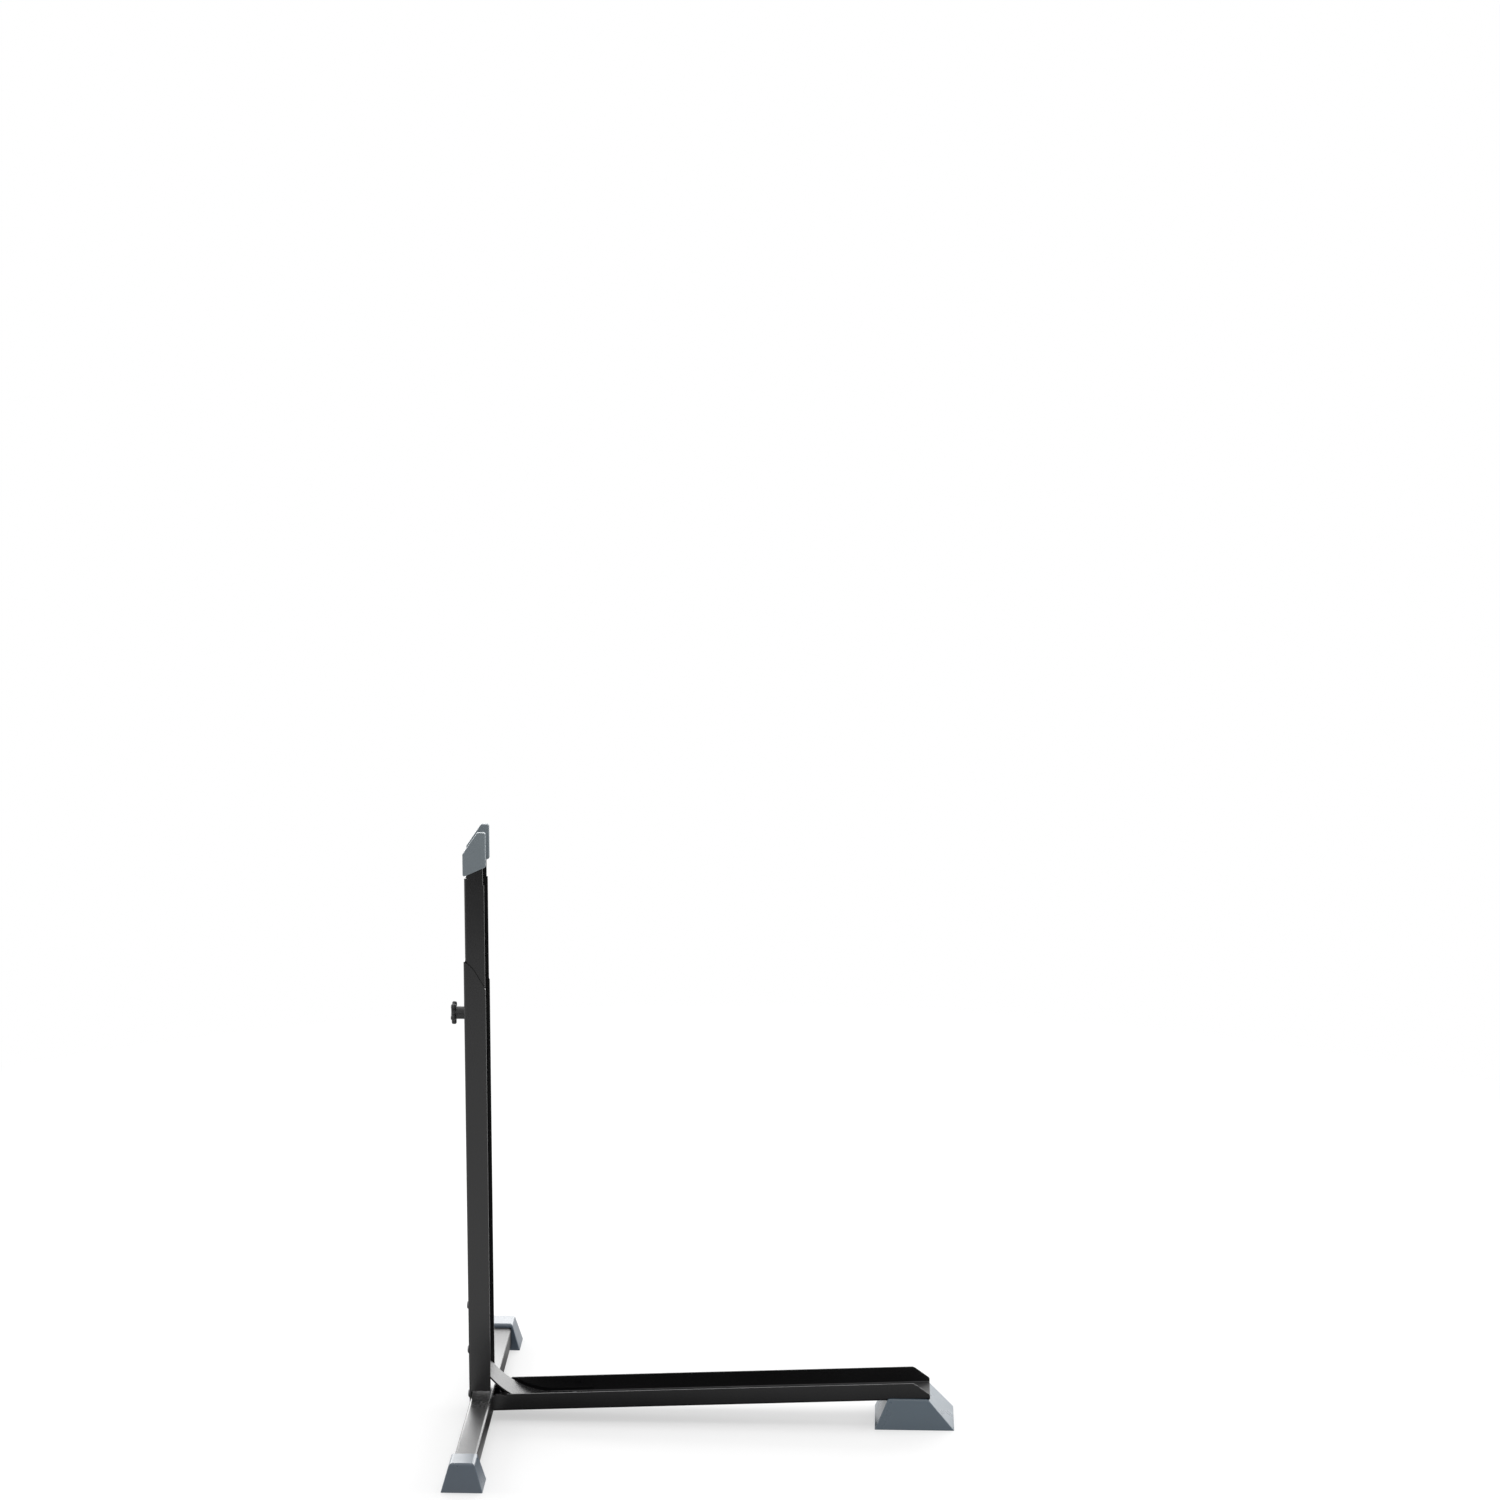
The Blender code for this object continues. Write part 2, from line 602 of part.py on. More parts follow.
def crossbar(rack, finish, axes):
    inner_round = BAR_ROUND - SHEET
    outside = [
        (BAR_BACK, BAR_LOW, BAR_ROUND),
        (BAR_FRONT, BAR_LOW, BAR_ROUND),
        (BAR_FRONT, BAR_HIGH, BAR_ROUND),
        (BAR_BACK, BAR_HIGH, BAR_ROUND),
    ]
    inside = [
        (BAR_BACK + SHEET, BAR_LOW + SHEET, inner_round),
        (BAR_FRONT - SHEET, BAR_LOW + SHEET, inner_round),
        (BAR_FRONT - SHEET, BAR_HIGH - SHEET, inner_round),
        (BAR_BACK + SHEET, BAR_HIGH - SHEET, inner_round),
    ]
    bar = rack.side_plate("crossbar", [rounded(outside), rounded(inside)], 2 * BAR_HALF_LENGTH, finish)
    radius = SCREW_RADIUS + HOLE_SLACK
    cut(bar, axes["post"][0].hole("bar_hole", radius, BAR_BACK - OVERCUT, BAR_FRONT + OVERCUT))
    return bar


def crossbar_foot(rack, finish, name, hand):
    """A tapered foot that the crossbar's end is pushed into."""
    outer = BAR_HALF_LENGTH + GAP + FOOT_WALL
    top_start = BAR_BACK - FOOT_TOP_MARGIN
    top_end = BAR_FRONT + FOOT_TOP_MARGIN
    inner_low = outer - FOOT_LENGTH
    near_y, far_y = sorted((hand * inner_low, hand * (outer + FOOT_OUTER_SLOPE)))
    top_near_y, top_far_y = sorted((hand * (inner_low + FOOT_INNER_SLOPE), hand * outer))
    low = (top_start - FOOT_SPREAD, near_y, 0.0)
    high = (top_end + FOOT_SPREAD, far_y, FOOT_TOP)
    foot = rack.block(name, low, high, finish, (top_start, top_end, top_near_y, top_far_y))
    round_foot(foot, FOOT_ROUND)
    socket_near, socket_far = sorted((hand * (inner_low - OVERCUT), hand * (BAR_HALF_LENGTH + GAP)))
    socket_low = (BAR_BACK - GAP, socket_near, BAR_LOW - GAP)
    socket_high = (BAR_FRONT + GAP, socket_far, BAR_HIGH + GAP)
    cut(foot, rack.block(name + "_socket", socket_low, socket_high))
    return foot


def pockets(half_width):
    """Name, low and high corner of the hollows under the rail's foot, in a grid with ribs between them."""
    x0 = RAIL_FOOT_START + POCKET_MARGIN
    x1 = RAIL_FOOT_END - POCKET_TOE_MARGIN
    y0 = -half_width + POCKET_MARGIN
    middle_rib = POCKET_RIB + 2 * FOOT_SCREW_RADIUS
    cell_x = (x1 - x0 - (POCKET_COLUMNS - 1) * POCKET_RIB) / POCKET_COLUMNS
    cell_y = (-2 * y0 - (POCKET_ROWS - 1) * middle_rib) / POCKET_ROWS
    for column in range(POCKET_COLUMNS):
        for row in range(POCKET_ROWS):
            x = x0 + column * (cell_x + POCKET_RIB)
            y = y0 + row * (cell_y + middle_rib)
            high = (x + cell_x, y + cell_y, rail_bottom(x) - GAP - POCKET_ROOF)
            yield f"pocket_{column}_{row}", (x, y, -OVERCUT), high


def rail_foot(rack, finish, axes):
    """A tapered foot under the rail's end, with lips up the rail's sides and pockets from below."""
    half_top = RAIL_WIDTH / 2 + GAP + RAIL_FOOT_SIDE
    half_low = half_top + RAIL_FOOT_SPREAD
    top_z = rail_bottom(RAIL_END_X) + RAIL_FOOT_LIP
    low = (RAIL_FOOT_START, -half_low, 0.0)
    high = (RAIL_FOOT_END, half_low, top_z)
    top = (RAIL_FOOT_START + RAIL_FOOT_START_SLOPE, RAIL_END_X - RAIL_FOOT_OVERHANG, -half_top, half_top)
    foot = rack.block("rail_foot", low, high, finish, top)
    round_foot(foot, RAIL_FOOT_ROUND)
    start = RAIL_FOOT_START - OVERCUT
    end = RAIL_FOOT_END + OVERCUT
    seat = [
        above_rail(start, -GAP),
        above_rail(end, -GAP),
        above_rail(end, 2 * RAIL_HEIGHT),
        above_rail(start, 2 * RAIL_HEIGHT),
    ]
    cut(foot, rack.side_plate("rail_seat", [seat], RAIL_WIDTH + 2 * GAP))
    for number, axis in enumerate(axes["foot"]):
        depth = FOOT_SCREW_LENGTH + GAP
        cut(foot, axis.hole(f"foot_screw_pilot_{number}", FOOT_SCREW_RADIUS + HOLE_SLACK, 0.0, depth))
    for name, pocket_low, pocket_high in pockets(half_low):
        cut(foot, rack.block(name, pocket_low, pocket_high))
    return foot


def brace_corner(offset):
    """Where the brace's legs would meet, and its bend's radius, on the face offset into the corner."""
    x = POST_INSIDE + offset
    lift = (GAP + offset) / math.cos(RAIL_SLOPE)
    return x, rail_web_top(x) + lift, BRACE_RADIUS - offset


def brace_face(z):
    """X of the brace's face towards the post at a height, and the angle that it leans there."""
    x, corner_z, radius = brace_corner(0.0)
    centre_z = corner_z + BEND_REACH
    if z >= centre_z:
        return x, 0.0
    lean = math.asin((centre_z - z) / radius)
    return x + radius * (1 - math.cos(lean)), lean


def corner_brace(rack, finish, axes):
    """A strip bent round in the corner: up the post's web and out along the rail's."""
    width = POST_WIDTH - 2 * (BEND_RADIUS + GAP)
    top = brace_corner(0.0)[1] + BEND_REACH + BRACE_HIGH_LEG
    outer_x, outer_z, outer_radius = brace_corner(0.0)
    inner_x, inner_z, inner_radius = brace_corner(BRACE_SHEET)
    below = GAP / math.cos(RAIL_SLOPE)
    above = (GAP + BRACE_SHEET) / math.cos(RAIL_SLOPE)
    strip = rounded(
        [
            (outer_x, top),
            (outer_x, outer_z, outer_radius),
            (BRACE_END_X, rail_web_top(BRACE_END_X) + below),
            (BRACE_END_X, rail_web_top(BRACE_END_X) + above),
            (inner_x, inner_z, inner_radius),
            (inner_x, top),
        ]
    )
    brace = rack.side_plate("corner_brace", [strip], width, finish)
    for row in (1, 2):
        face_x, lean = brace_face(SCREW_HEIGHTS[row])
        slack = HOLE_SLACK + BRACE_SHEET * math.sin(lean)
        end = face_x + 3 * BRACE_SHEET
        cut(brace, axes["post"][row].hole(f"brace_hole_{row}", SCREW_RADIUS + slack, 0.0, end))
    cut(brace, axes["brace"].hole("brace_low_hole", SCREW_RADIUS + HOLE_SLACK, 0.0, 4 * BRACE_SHEET))
    return brace


def button_screw(axis, name, finish, size, length):
    """A screw along its axis: its head ends GAP below the axis's origin and its shaft reaches to length."""
    head_base = -GAP
    head_top = head_base - size.head_height
    rim = head_base - size.head_height / 4
    crown = size.head_radius * DOME_CROWN
    dome = []
    for step in range(DOME_STEPS + 1):
        angle = math.pi / 2 * step / DOME_STEPS
        radius = crown + (size.head_radius - crown) * math.cos(angle)
        dome.append((radius, rim + (head_top - rim) * math.sin(angle)))
    profile = [
        (0.0, length),
        (size.radius - SCREW_EDGE, length),
        (size.radius, length - SCREW_EDGE),
        (size.radius, head_base),
        (size.head_radius, head_base),
        *dome,
        (0.0, head_top),
    ]
    screw = axis.turned(name, profile, finish)
    key = regular_polygon(6, size.key / 2 / math.cos(math.pi / 6))
    cut(screw, axis.plate(name + "_key", [key], size.head_height, None, (0, 0, head_top)))
    return screw


def hex_nut(axis, name, finish, start):
    """A nut on a screw's axis, from start upwards."""
    outside = regular_polygon(6, NUT_FLATS / 2 / math.cos(math.pi / 6))
    bore = regular_polygon(TURN_STEPS, SCREW_RADIUS + HOLE_SLACK)
    return axis.plate(name, [outside, bore], NUT_HEIGHT, finish, (0, 0, start + NUT_HEIGHT / 2))


def flat_ring(axis, name, finish, radius, start, end, bore):
    profile = [(radius, end), (radius, start), (bore, start), (bore, end)]
    return axis.turned(name, profile, finish, ring=True)


def leaning_sides(face_x, z, lean, half):
    """Two corners of a side outline on the brace's leaning face, above and below a height."""
    return (face_x - half * math.tan(lean), z + half), (face_x + half * math.tan(lean), z - half)


def middle_spacer(rack, axis, finish):
    """A sleeve between the post's web and the brace, cut to the brace's lean."""
    z = SCREW_HEIGHTS[1]
    face_x, lean = brace_face(z)
    end_x = face_x - GAP / math.cos(lean)
    bore = SCREW_RADIUS + HOLE_SLACK
    reach = end_x + SPACER_RADIUS
    spacer = flat_ring(axis, "brace_spacer", finish, SPACER_RADIUS, POST_INSIDE, reach, bore)
    upper, lower = leaning_sides(end_x, z, lean, 2 * SPACER_RADIUS)
    far_x = reach + OVERCUT
    beyond = [upper, lower, (far_x, lower[1]), (far_x, upper[1])]
    cut(spacer, rack.side_plate("spacer_end", [beyond], 4 * SPACER_RADIUS))
    return spacer


def wedge_far_x():
    face_x, lean = brace_face(SCREW_HEIGHTS[1])
    return face_x + (BRACE_SHEET + 2 * GAP) / math.cos(lean) + WEDGE_MIDDLE


def wedge_washer(rack, axis, finish):
    """A washer whose near side follows the brace and whose far side is square to the screw."""
    z = SCREW_HEIGHTS[1]
    lean = brace_face(z)[1]
    start_x = wedge_far_x() - WEDGE_MIDDLE
    bore = SCREW_RADIUS + HOLE_SLACK
    back = start_x - 2 * WEDGE_RADIUS
    washer = flat_ring(axis, "brace_wedge_washer", finish, WEDGE_RADIUS, back, wedge_far_x(), bore)
    upper, lower = leaning_sides(start_x, z, lean, 2 * WEDGE_RADIUS)
    before_x = back - OVERCUT
    before = [upper, lower, (before_x, lower[1]), (before_x, upper[1])]
    cut(washer, rack.side_plate("wedge_start", [before], 4 * WEDGE_RADIUS))
    return washer


def post_screws(rack, axes, finish):
    """The three screws through the back of the post, each with what it clamps its nut against."""
    middle_spacer(rack, axes["post"][1], finish)
    wedge_washer(rack, axes["post"][1], finish)
    seats = {
        "low": TAB_BACK + SHEET + GAP,
        "middle": wedge_far_x() + GAP,
        "high": POST_INSIDE + BRACE_SHEET + GAP,
    }
    for axis, (name, seat) in zip(axes["post"], seats.items()):
        button_screw(axis, f"post_screw_{name}", finish, M6, seat + NUT_HEIGHT + SCREW_STICK_OUT)
        hex_nut(axis, f"post_nut_{name}", finish, seat)


def brace_screw(axis, finish):
    seat = SHEET + GAP + BRACE_SHEET + GAP
    button_screw(axis, "brace_screw", finish, M6, seat + NUT_HEIGHT + SCREW_STICK_OUT)
    hex_nut(axis, "brace_nut", finish, seat)


def clamp_bolt(axis, finish):
    """A carriage bolt: a domed head in the post, a square neck in the upper post's slot, and the shaft."""
    seat = UPPER_INNER_FACE + GAP
    rise = CLAMP_HEAD_HEIGHT - CLAMP_HEAD_RIM
    profile = [(0.0, seat + CLAMP_HEAD_HEIGHT)]
    for step in range(1, DOME_STEPS + 1):
        angle = math.pi / 2 * step / DOME_STEPS
        radius = CLAMP_HEAD_RADIUS * math.sin(angle)
        profile.append((radius, seat + CLAMP_HEAD_RIM + rise * math.cos(angle)))
    profile += [
        (CLAMP_HEAD_RADIUS, seat),
        (CLAMP_RADIUS, seat),
        (CLAMP_RADIUS, CLAMP_END + SCREW_EDGE),
        (CLAMP_RADIUS - SCREW_EDGE, CLAMP_END),
        (0.0, CLAMP_END),
    ]
    bolt = axis.turned("clamp_bolt", profile, finish)
    half = CLAMP_NECK / 2
    neck_end = seat + CLAMP_HEAD_HEIGHT / 3
    neck = axis.block("clamp_neck", (-half, -half, POST_INSIDE), (half, half, neck_end))
    combine(bolt, neck, "UNION")
    return bolt


def knob_outline():
    """A star of round-ended lobes with rounded valleys between them. One lobe points along X."""
    half = KNOB_LOBE_WIDTH / 2
    half_turn = math.pi / KNOB_LOBES  # from a lobe to the valley beside it
    corners = []
    for lobe in range(KNOB_LOBES):
        angle = 2 * half_turn * lobe
        along = (math.cos(angle), math.sin(angle))
        for side in (-half, half):
            x = KNOB_RADIUS * along[0] - side * along[1]
            y = KNOB_RADIUS * along[1] + side * along[0]
            corners.append((x, y, half - GAP))
        valley = half / math.sin(half_turn)
        across = angle + half_turn
        corners.append((valley * math.cos(across), valley * math.sin(across), KNOB_VALLEY_ROUND))
    return rounded(corners)


def clamp_knob(axis, black, steel):
    """The washer, the star knob and the threaded insert in it."""
    bore = CLAMP_RADIUS + HOLE_SLACK
    flat_ring(axis, "knob_washer", steel, WASHER_RADIUS, -GAP - WASHER_HEIGHT, -GAP, bore)
    hub_face = -2 * GAP - WASHER_HEIGHT
    insert_end = KNOB_FACE + KNOB_COVER + GAP
    flat_ring(axis, "knob_insert", steel, INSERT_RADIUS, insert_end, hub_face, bore)
    head_middle = KNOB_FACE + KNOB_HEAD / 2
    knob = axis.plate("knob_head", [knob_outline()], KNOB_HEAD, black, (0, 0, head_middle))
    round_edges(knob, KNOB_ROUND, ROUND_STEPS)
    overlap = KNOB_HEAD / 2
    hub = axis.turned(
        "knob_hub",
        [
            (0.0, hub_face),
            (KNOB_HUB_RADIUS, hub_face),
            (KNOB_HUB_RADIUS, hub_face - KNOB_HUB_LENGTH - overlap),
            (0.0, hub_face - KNOB_HUB_LENGTH - overlap),
        ],
    )
    combine(knob, hub, "UNION")
    cut(knob, axis.hole("insert_hole", INSERT_RADIUS + GAP, insert_end - GAP, hub_face + OVERCUT))
    return knob


def main():
    clear_scene()
    parts = new_collection("freestanding_bike_rack")
    cutters = new_collection("cutters")
    root = bpy.data.objects.new("rack", None)
    root.location = (-CENTRE_X, 0, 0)
    parts.objects.link(root)
    rack = Bench(parts, cutters, root)
    lift = rack.bench_on("lift")
    along_x = (0, math.pi / 2, 0)
    down_the_rail = (0, math.pi - RAIL_SLOPE, 0)
    brace_place = (BRACE_SCREW_X, 0, rail_bottom(BRACE_SCREW_X))
    axes = {
        "post": [
            rack.bench_on(f"post_axis_{row}", (0, 0, z), along_x) for row, z in enumerate(SCREW_HEIGHTS)
        ],
        "clamp": rack.bench_on("clamp_axis", (0, 0, CLAMP_HEIGHT), along_x),
        "brace": rack.bench_on("brace_axis", brace_place, (0, -RAIL_SLOPE, 0)),
        "foot": [
            rack.bench_on(f"foot_axis_{number}", (x, 0, rail_web_top(x)), down_the_rail)
            for number, x in enumerate(FOOT_SCREW_XS)
        ],
    }
    black_paint = material("black_paint", BLACK, 0.35, 0.0)
    black_gloss = material("black_gloss", BLACK, 0.12, 0.0)
    grey_rubber = material("grey_rubber", GREY, 0.55, 0.0)
    black_steel = material("black_steel", BLACK_STEEL, 0.35, 1.0)
    bright_steel = material("bright_steel", BRIGHT_STEEL, 0.30, 1.0)
    black_plastic = material("black_plastic", BLACK, 0.45, 0.0)

    lower_post(rack, black_paint, axes)
    upper_post(lift, black_paint)
    for hand, side in ((-1, "near"), (1, "far")):
        prong_cap(lift, grey_rubber, f"prong_cap_{side}", hand)
        crossbar_foot(rack, grey_rubber, f"crossbar_foot_{side}", hand)
    base_rail(rack, black_paint, axes)
    crossbar(rack, black_gloss, axes)
    rail_foot(rack, grey_rubber, axes)
    corner_brace(rack, black_gloss, axes)
    post_screws(rack, axes, black_steel)
    brace_screw(axes["brace"], black_steel)
    for number, axis in enumerate(axes["foot"]):
        button_screw(axis, f"rail_foot_screw_{number + 1}", black_steel, M4, FOOT_SCREW_LENGTH)
    clamp_bolt(axes["clamp"], bright_steel)
    clamp_knob(axes["clamp"], black_plastic, bright_steel)


main()
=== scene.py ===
"""Looks of the freestanding bike rack: its materials, floor, studio light and camera."""

import math

import bpy
from mathutils import Matrix, Vector


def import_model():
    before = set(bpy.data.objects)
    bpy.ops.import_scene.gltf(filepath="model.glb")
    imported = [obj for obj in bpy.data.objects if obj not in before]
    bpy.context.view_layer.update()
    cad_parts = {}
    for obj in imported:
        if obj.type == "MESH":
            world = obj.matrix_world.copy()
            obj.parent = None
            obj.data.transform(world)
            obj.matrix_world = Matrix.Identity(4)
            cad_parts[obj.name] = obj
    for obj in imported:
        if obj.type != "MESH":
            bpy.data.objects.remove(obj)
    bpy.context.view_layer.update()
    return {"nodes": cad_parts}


CENTRE_X = 0.28895  # from the back of the lower post to the middle of the rack

# Camera. Its place and turn were fitted to edges in the photograph, its focal length was chosen.
PHOTO_SIZE = 1500
FOCAL_PIXELS = 3942.0
CAMERA_PLACE = (0.50296 - CENTRE_X, -4.59023, 1.79536)
CAMERA_PITCH = math.radians(11.768)  # downwards
CAMERA_YAW = math.radians(-1.994)  # from +Y, positive towards +X
CAMERA_ROLL = math.radians(0.0794)
CAMERA_CLIP = 60.0
SENSOR = 36.0

# Studio light
AMBIENT = 0.50  # brightness of the surroundings as a light
LIGHTS = {  # name: (place, aim, (width, height), power)
    "overhead": ((0.0, 0.5, 3.2), (0.0, 0.1, 0.2), (3.2, 2.4), 34.0),
    "backdrop": ((0.0, 4.5, 1.7), (0.0, 0.0, 0.6), (8.0, 3.2), 290.0),
    "side_left": ((-3.4, 0.6, 1.3), (0.0, 0.0, 0.3), (2.4, 2.4), 60.0),
    "side_right": ((3.4, 0.6, 1.3), (0.0, 0.0, 0.3), (2.4, 2.4), 60.0),
}

# Floor. Distances are in metres from the middle of the rack, y towards the back.
FLOOR_REACH = 9.0
FLOOR_COLOUR = 0.90
SHADE_RADIUS = (0.95, 1.9)  # the floor's own shading fades into plain white between these
SHADE_STRENGTH = 0.50  # of the shadows on the floor
FLOOR_IN_REFLECTIONS = [  # (y, brightness): white at most, and ending in front
    (-2.80, 0.00),
    (-2.60, 0.14),
    (-2.46, 0.62),
    (-2.30, 1.00),
    (-1.90, 0.98),
    (-1.42, 0.88),
    (-1.03, 0.98),
    (-0.74, 1.00),
]
RAIL_SHADE_IN_REFLECTIONS = [  # (y, share of the floor's brightness) in front of the rail
    (-0.26, 1.0),
    (-0.17, 0.42),
    (-0.135, 0.34),
    (-0.10, 0.08),
    (-0.05, 0.05),
    (-0.015, 0.05),
    (0.02, 1.0),
]
RAIL_SHADE_START = (-0.262, -0.250)  # x between which it sets in
REAR_SHADE_IN_REFLECTIONS = [  # the same behind the rail, on its shadow's side
    (-0.10, 1.0),
    (-0.05, 0.06),
    (0.05, 0.15),
    (0.19, 0.24),
    (0.26, 0.95),
    (0.40, 1.0),
]
REAR_SHADE_END = (0.14, 0.18)  # x between which it stops

# Textures. Scales are in features to the metre, bumps in metres.
NOISE_RANGE = (0.3, 0.7)  # most of a noise's values lie between these
PEBBLE_SCALE, PEBBLE_BUMP = 1400.0, 0.00003  # powder coat's skin
PATCH_SCALE, PATCH_RANGE = 9.0, (0.35, 0.65)  # its unevenness
PEEL_SCALE, PEEL_BUMP = 160.0, 0.00001  # orange peel of glossy paint
DUST_SCALE = 600.0
SPARK_SCALE, SPARK_BUMP = 2200.0, 0.00002  # moulded plastic's skin
FLOW_SCALE = 35.0
GRAIN_SCALE, GRAIN_BUMP = 900.0, 0.00001  # steel
STREAK_SCALE = (12.0, 260.0, 40.0)  # scuffs: long in x, narrow in y
SCUFFED_FACING = (0.55, 0.85)  # a normal's z, from the first scuffed faces to the fully scuffed
RUBBED_REACH = (0.03, 0.18)  # distance from the crossbar's middle, fresh and fully rubbed

WHITE = (1.0, 1.0, 1.0, 1.0)
PAINT_BLACK = (0.0105, 0.0105, 0.0110)


def give(links, socket, value):
    """Sets a socket to a value, or links another node's output to it."""
    if isinstance(value, bpy.types.NodeSocket):
        links.new(value, socket)
    else:
        socket.default_value = value


class Shader:
    """Builds one material's nodes."""

    def __init__(self, name):
        self.material = bpy.data.materials.new(name)
        self.material.use_nodes = True
        self.nodes = self.material.node_tree.nodes
        self.links = self.material.node_tree.links
        self.surface = self.nodes["Principled BSDF"]

    def node(self, kind, **inputs):
        made = self.nodes.new("ShaderNode" + kind)
        self.feed(made, **inputs)
        return made

    def feed(self, target, **inputs):
        """Gives a node's inputs, by name with _ for a space, a value or another node's output."""
        for name, value in inputs.items():
            give(self.links, target.inputs[name.replace("_", " ")], value)

    def place(self, scale=(1, 1, 1)):
        """Object coordinates in metres, scaled."""
        coordinates = self.node("TexCoord")
        mapping = self.node("Mapping", Vector=coordinates.outputs["Object"], Scale=scale)
        return mapping.outputs["Vector"]

    def noise(self, scale, detail=3.0, roughness=0.5, place=None):
        made = self.node("TexNoise", Scale=scale, Detail=detail, Roughness=roughness)
        self.feed(made, Vector=place or self.place())
        return made.outputs["Fac"]

    def spread(self, value, low, high, source=NOISE_RANGE):
        """A number that goes from low to high as value crosses the source range."""
        start, end = source
        made = self.node("MapRange", Value=value)
        self.feed(made, From_Min=start, From_Max=end, To_Min=low, To_Max=high)
        return made.outputs["Result"]

    def ramp(self, value, stops):
        """A grey that follows (place, height) stops along a number."""
        first = stops[0][0]
        last = stops[-1][0]
        made = self.node("ValToRGB", Fac=self.spread(value, 0.0, 1.0, (first, last)))
        band = made.color_ramp
        while len(band.elements) < len(stops):
            band.elements.new(0.5)
        for element, (place, height) in zip(band.elements, stops):
            element.position = (place - first) / (last - first)
            element.color = (height, height, height, 1.0)
        return made.outputs["Color"]

    def mix(self, factor, first, second):
        """A colour between two others."""
        made = self.nodes.new("ShaderNodeMix")
        made.data_type = "RGBA"
        give(self.links, made.inputs["Factor"], factor)
        give(self.links, made.inputs[6], first)
        give(self.links, made.inputs[7], second)
        return made.outputs[2]

    def mix_surfaces(self, factor, first, second):
        made = self.nodes.new("ShaderNodeMixShader")
        for socket, output in zip(made.inputs, (factor, first, second)):
            self.links.new(output, socket)
        return made.outputs[0]

    def shades(self, factor, colour, darkest, lightest):
        """A colour that wanders between two multiples of itself."""
        low = tuple(channel * darkest for channel in colour)
        high = tuple(min(1.0, channel * lightest) for channel in colour)
        return self.mix(factor, (*low, 1.0), (*high, 1.0))

    def product(self, first, second):
        made = self.nodes.new("ShaderNodeMath")
        made.operation = "MULTIPLY"
        for socket, value in zip(made.inputs, (first, second)):
            give(self.links, socket, value)
        return made.outputs["Value"]

    def bump(self, height, distance):
        made = self.node("Bump", Height=height, Distance=distance)
        return made.outputs["Normal"]


def scuffed(shader, fresh, worn):
    """A roughness that goes from fresh to worn where a face looks up, in streaks along x."""
    shape = shader.node("NewGeometry")
    facing = shader.node("SeparateXYZ", Vector=shape.outputs["Normal"])
    upward = shader.spread(facing.outputs["Z"], 0.0, 1.0, SCUFFED_FACING)
    streaks = shader.noise(1.0, 4.0, 0.6, shader.place(STREAK_SCALE))
    rubbed = shader.spread(streaks, worn - 0.08, worn + 0.10)
    made = shader.node("Mix", Factor=upward, A=fresh, B=rubbed)
    return made.outputs["Result"]


def powder_coat(name, colour, roughness, worn=None):
    """Baked paint: a fine pebbled skin and a faintly uneven gloss. worn is its scuffed roughness."""
    shader = Shader(name)
    pebbles = shader.noise(PEBBLE_SCALE, 2.0)
    patches = shader.noise(PATCH_SCALE, 4.0)
    tone = shader.spread(patches, 0.0, 1.0, PATCH_RANGE)
    gloss = shader.spread(patches, roughness - 0.03, roughness + 0.03)
    if worn:
        gloss = scuffed(shader, gloss, worn)
    shader.feed(
        shader.surface,
        Base_Color=shader.shades(tone, colour, 0.88, 1.12),
        Roughness=gloss,
        Normal=shader.bump(pebbles, PEBBLE_BUMP),
    )
    return shader.material


def away_from_post(shader, fresh, rubbed):
    """A roughness that grows along the crossbar, from the post towards both ends."""
    axes = shader.node("SeparateXYZ", Vector=shader.place())
    reach = shader.node("Math", Value=axes.outputs["Y"])
    reach.operation = "ABSOLUTE"
    return shader.spread(reach.outputs["Value"], fresh, rubbed, RUBBED_REACH)


def enamel(name, colour, roughness, shine, rubbed=None):
    """Glossy paint with a slow orange peel. rubbed is its roughness at the crossbar's ends."""
    shader = Shader(name)
    peel = shader.noise(PEEL_SCALE, 2.0)
    dust = shader.noise(DUST_SCALE, 3.0)
    gloss = shader.spread(dust, roughness - 0.02, roughness + 0.03)
    if rubbed:
        worn = shader.spread(dust, rubbed - 0.03, rubbed + 0.04)
        gloss = away_from_post(shader, gloss, worn)
    shader.feed(
        shader.surface,
        Base_Color=shader.shades(dust, colour, 0.9, 1.1),
        Roughness=gloss,
        IOR=shine,
        Normal=shader.bump(peel, PEEL_BUMP),
    )
    return shader.material


def moulded(name, colour, roughness, shine=1.5):
    """Satin moulded plastic or rubber, with the fine spark texture of its mould."""
    shader = Shader(name)
    spark = shader.noise(SPARK_SCALE, 2.0)
    flow = shader.noise(FLOW_SCALE, 3.0)
    shader.feed(
        shader.surface,
        Base_Color=shader.shades(flow, colour, 0.93, 1.07),
        Roughness=shader.spread(flow, roughness - 0.04, roughness + 0.04),
        IOR=shine,
        Normal=shader.bump(spark, SPARK_BUMP),
    )
    return shader.material


def steel(name, colour, roughness):
    shader = Shader(name)
    grain = shader.noise(GRAIN_SCALE, 4.0)
    shader.feed(
        shader.surface,
        Base_Color=shader.shades(grain, colour, 0.85, 1.1),
        Metallic=1.0,
        Roughness=shader.spread(grain, roughness - 0.06, roughness + 0.08),
        Normal=shader.bump(grain, GRAIN_BUMP),
    )
    return shader.material


def dress(target, material):
    for slot in target.material_slots:
        slot.material = material


